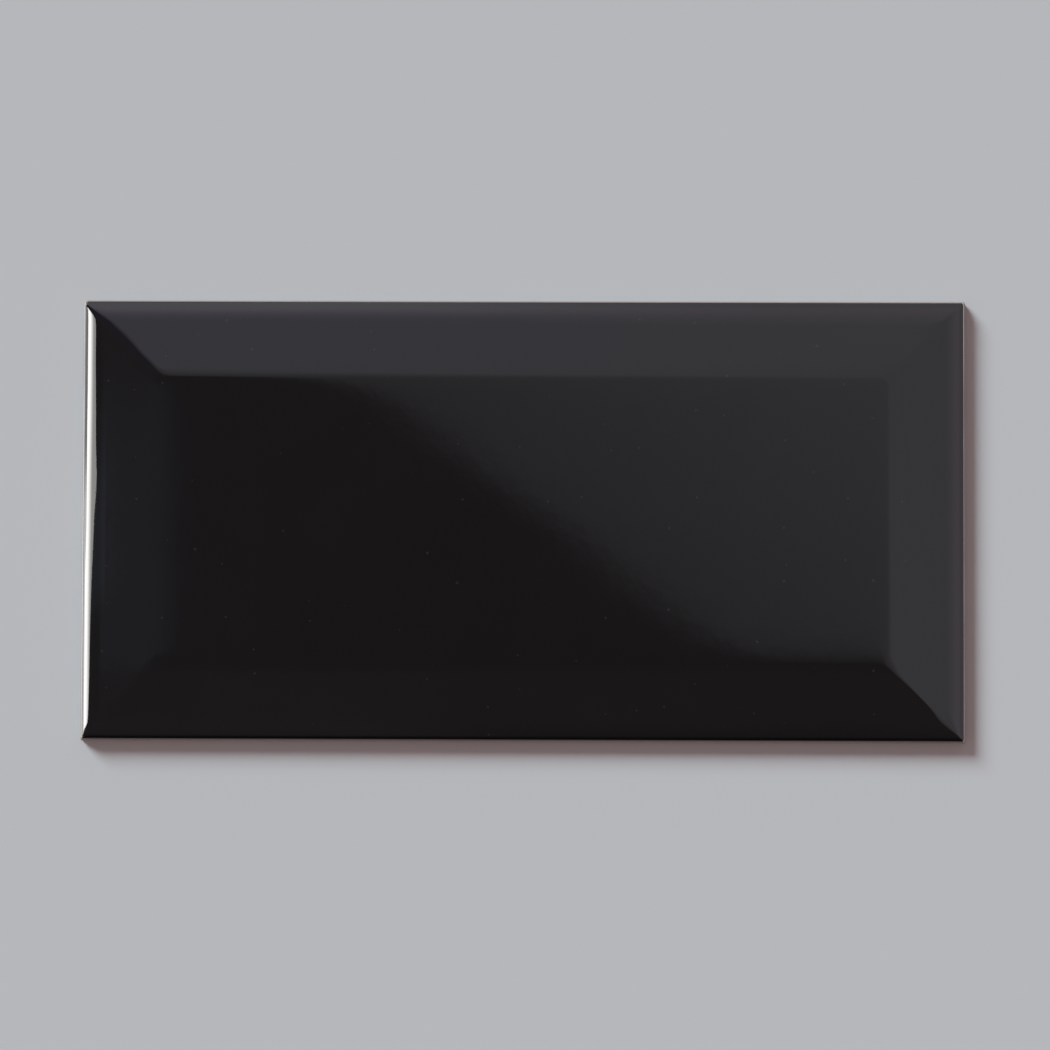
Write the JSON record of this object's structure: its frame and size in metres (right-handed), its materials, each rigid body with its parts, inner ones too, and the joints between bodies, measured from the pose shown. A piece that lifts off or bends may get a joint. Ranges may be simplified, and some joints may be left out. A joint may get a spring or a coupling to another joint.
{
  "type": "bevelled wall tile",
  "caption": "Oblong gloss black ceramic wall tile with a flat raised field, bevelled borders mitred at the corners, a rounded lip and a keyed back.",
  "frame": {"origin": "middle of the back, on the plane that the tile lies on", "axes": "+X along the length, +Y across the width, towards the top of the picture, +Z out of the glazed face"},
  "size_m": [0.2, 0.1, 0.007],
  "materials": {
    "black_glaze": "gloss black glaze on the face, bare fired clay on the edges and back"
  },
  "bodies": {
    "root": {"wall_tile": "black_glaze"}
  },
  "joints": []
}
